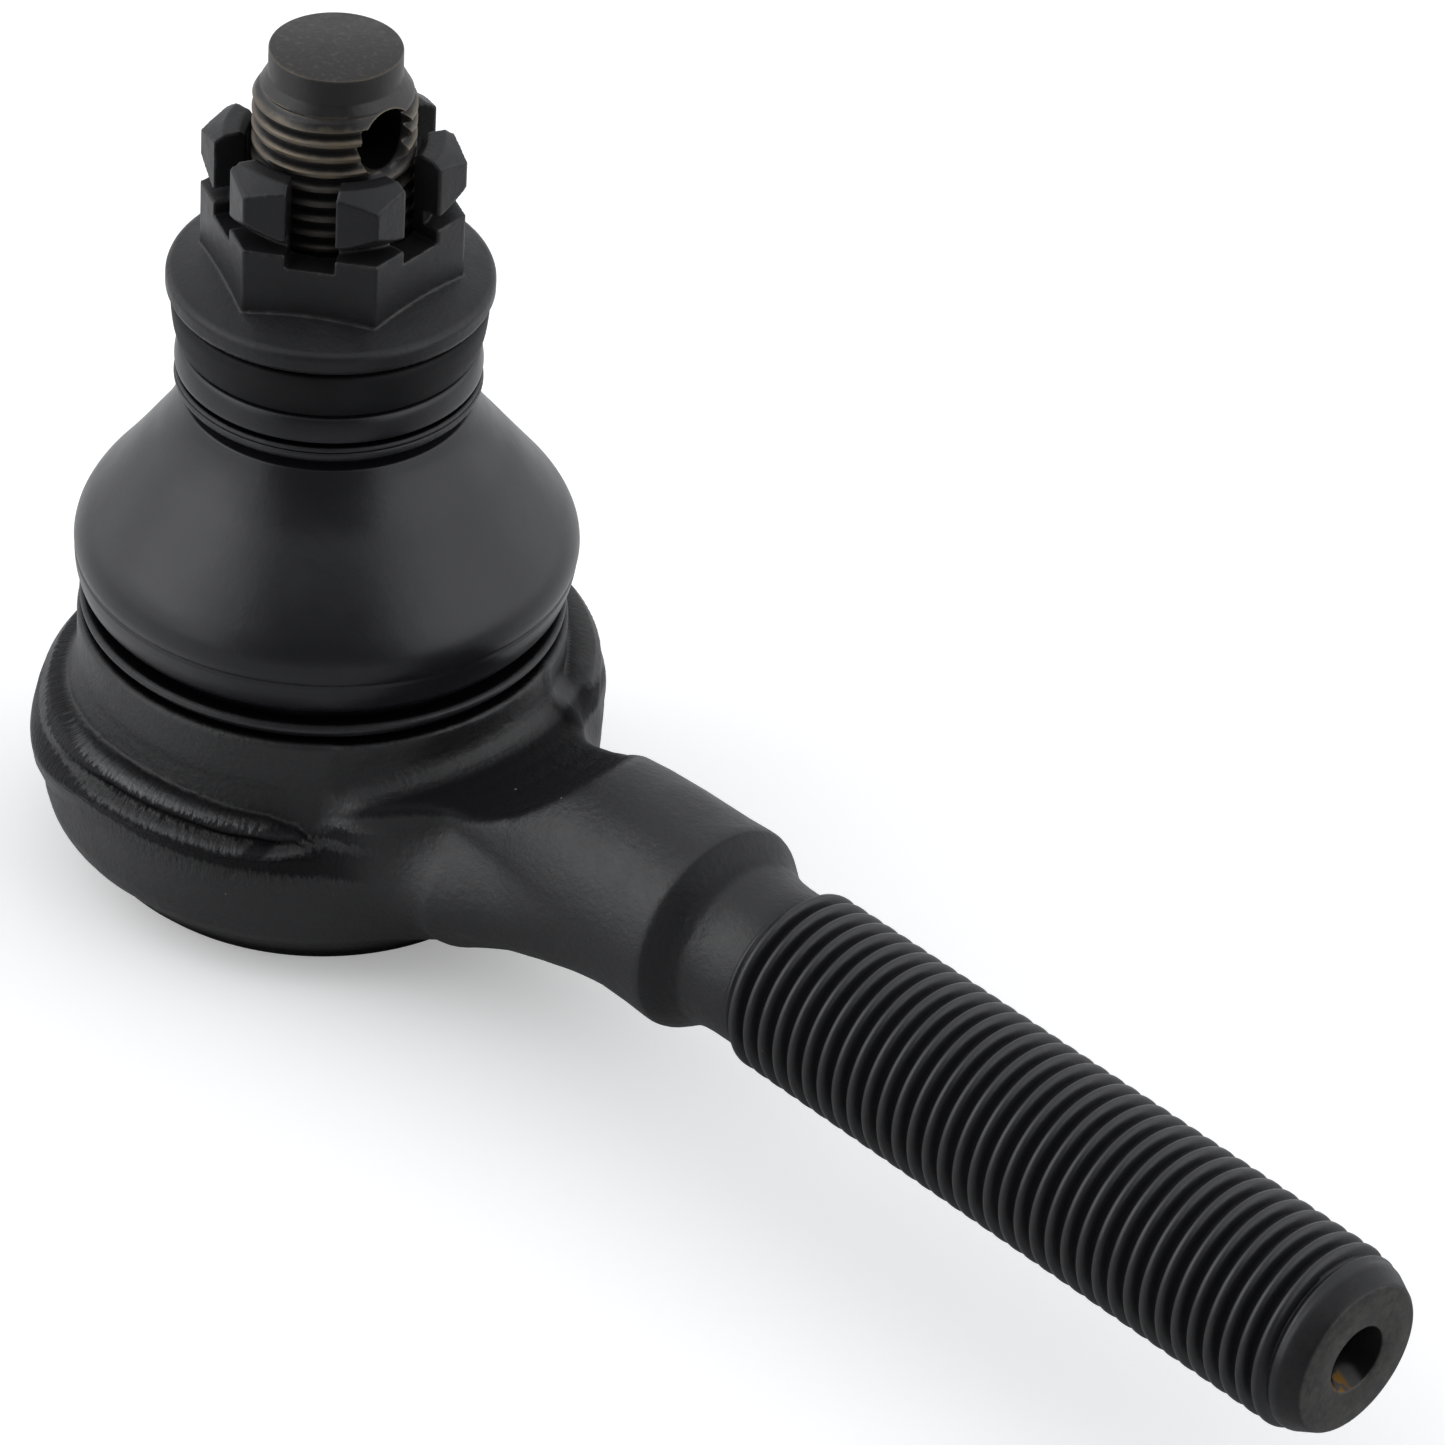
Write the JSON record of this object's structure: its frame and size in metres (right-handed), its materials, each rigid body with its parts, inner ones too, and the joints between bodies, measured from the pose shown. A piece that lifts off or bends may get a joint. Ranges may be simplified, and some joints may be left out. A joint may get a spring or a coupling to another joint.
{
  "type": "tie rod end",
  "caption": "Steering tie rod end: forged ball-joint housing with a threaded shank, swinging ball stud, rubber boot and slotted flange nut.",
  "frame": {"origin": "on the stud's axis at the outer face of the end cover, 15 mm below the centre of the ball", "axes": "+Z along the stud towards its threaded end, +X along the shank towards its threaded end"},
  "size_m": [0.1277, 0.0434, 0.0698],
  "materials": {
    "forged_housing": "forged steel with a thin satin black coat",
    "cover_steel": "satin black coated pressed steel",
    "spring_steel": "bare spring steel",
    "seat_polymer": "natural acetal, greased",
    "ring_steel": "black coated steel",
    "boot_rubber": "satin black rubber",
    "stud_steel": "black oxide steel, worn bright on the thread crests",
    "nut_steel": "satin black coated steel"
  },
  "bodies": {
    "housing": {"housing": "forged_housing", "end_cover": "cover_steel", "preload_spring": "spring_steel", "upper_seat": "seat_polymer", "boot_lower_ring": "ring_steel"},
    "seat": {"lower_seat": "seat_polymer"},
    "boot": {"dust_boot": "boot_rubber"},
    "boot_neck": {"boot_upper_ring": "ring_steel", "seal_lip": "boot_rubber"},
    "stud": {"ball_stud": "stud_steel"},
    "nut": {"castle_nut": "nut_steel"}
  },
  "joints": [
    {"name": "seat_travel", "type": "slide", "parent": "housing", "child": "seat", "axis": [0, 0, -1], "range_m": [0, 0.0003], "stiffness_N_per_m": 20000, "deforming": ["preload_spring", "dust_boot"]},
    {"name": "boot_swivel", "type": "hinge", "parent": "seat", "child": "boot", "pos_m": [0, 0, 0.015], "axis": [0, 0, 1], "continuous": true},
    {"name": "stud_tilt", "type": "hinge", "parent": "boot", "child": "boot_neck", "pos_m": [0, 0, 0.015], "axis": [0, 1, 0], "range_deg": [-22, 22], "stiffness_Nm_per_rad": 0.2, "deforming": ["dust_boot"]},
    {"name": "stud_spin", "type": "hinge", "parent": "boot_neck", "child": "stud", "pos_m": [0, 0, 0.015], "axis": [0, 0, 1], "continuous": true},
    {"name": "nut_travel", "type": "slide", "parent": "stud", "child": "nut", "axis": [0, 0, 1], "range_m": [0, 0.0206]}
  ]
}
